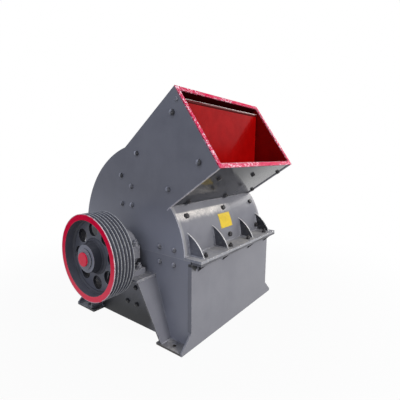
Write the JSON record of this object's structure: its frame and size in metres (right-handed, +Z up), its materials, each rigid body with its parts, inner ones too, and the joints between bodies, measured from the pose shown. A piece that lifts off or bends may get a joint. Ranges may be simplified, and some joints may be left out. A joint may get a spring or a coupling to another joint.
{
  "type": "hammer crusher",
  "caption": "Welded plate stone crusher with a raised feed chute, a hammer rotor in outboard bearings, a grooved belt pulley, a flywheel and a sieve under the rotor.",
  "frame": {"origin": "on the floor, at the middle of the anchor bolt pattern, below the middle of the rotor shaft", "axes": "+X along the rotor shaft away from the belt pulley, -Y towards the feed mouth, +Z up"},
  "size_m": [1.979, 1.5528, 1.828],
  "materials": {
    "plate_paint": "semi-gloss dark grey enamel",
    "cast_paint": "semi-gloss dark grey enamel on castings",
    "wheel_paint": "semi-gloss dark grey enamel on the wheels",
    "rim_red": "worn red paint",
    "liner_red": "red oxide paint, dusty",
    "flap_red": "red oxide paint, dusty",
    "rod_steel": "worn bright",
    "shaft_steel": "turned",
    "rotor_steel": "rolled plate, dull",
    "hammer_steel": "cast manganese steel",
    "sieve_steel": "worn",
    "label_yellow": "yellow enamel"
  },
  "bodies": {
    "housing": {"lower_side_left": "plate_paint", "lower_side_right": "plate_paint", "lower_front_plate": "plate_paint", "lower_rear_plate": "plate_paint", "corner_strips": "plate_paint", "lower_front_flange": "plate_paint", "lower_rear_flange": "plate_paint", "foot_plates_left": "plate_paint", "foot_plates_right": "plate_paint", "stand_top_left": "plate_paint", "stand_top_right": "plate_paint", "stand_legs_left": "plate_paint", "stand_legs_right": "plate_paint", "upper_side_left": "plate_paint", "upper_side_right": "plate_paint", "front_cover": "plate_paint", "rear_shell": "plate_paint", "upper_front_flange": "plate_paint", "upper_rear_flange": "plate_paint", "front_gussets": "plate_paint", "rear_gussets": "plate_paint", "lower_front_gussets": "plate_paint", "lower_rear_gussets": "plate_paint", "chute_roof": "plate_paint", "chute_floor": "plate_paint", "bearing_base_left": "cast_paint", "bearing_base_right": "cast_paint", "bearing_cap_left": "cast_paint", "bearing_cap_right": "cast_paint", "mouth_rim": "rim_red", "side_liner_left": "liner_red", "side_liner_right": "liner_red", "roof_liner": "liner_red", "floor_liner": "liner_red", "flap_rod": "rod_steel", "sieve_bars": "sieve_steel", "sieve_carriers": "sieve_steel", "label_plate": "label_yellow"},
    "rotor": {"shaft": "shaft_steel", "pulley": "wheel_paint", "flywheel": "wheel_paint", "rotor_discs": "rotor_steel", "hammer_pins": "shaft_steel", "hammers": "hammer_steel"},
    "flap": {"feed_flap": "flap_red"}
  },
  "joints": [
    {"name": "rotor_spin", "type": "hinge", "parent": "housing", "child": "rotor", "pos_m": [0, 0, 0.646], "axis": [1, 0, 0], "continuous": true},
    {"name": "feed_flap", "type": "hinge", "parent": "housing", "child": "flap", "pos_m": [0, -0.4879, 1.73903], "axis": [1, 0, 0], "range_deg": [0, 50]}
  ]
}
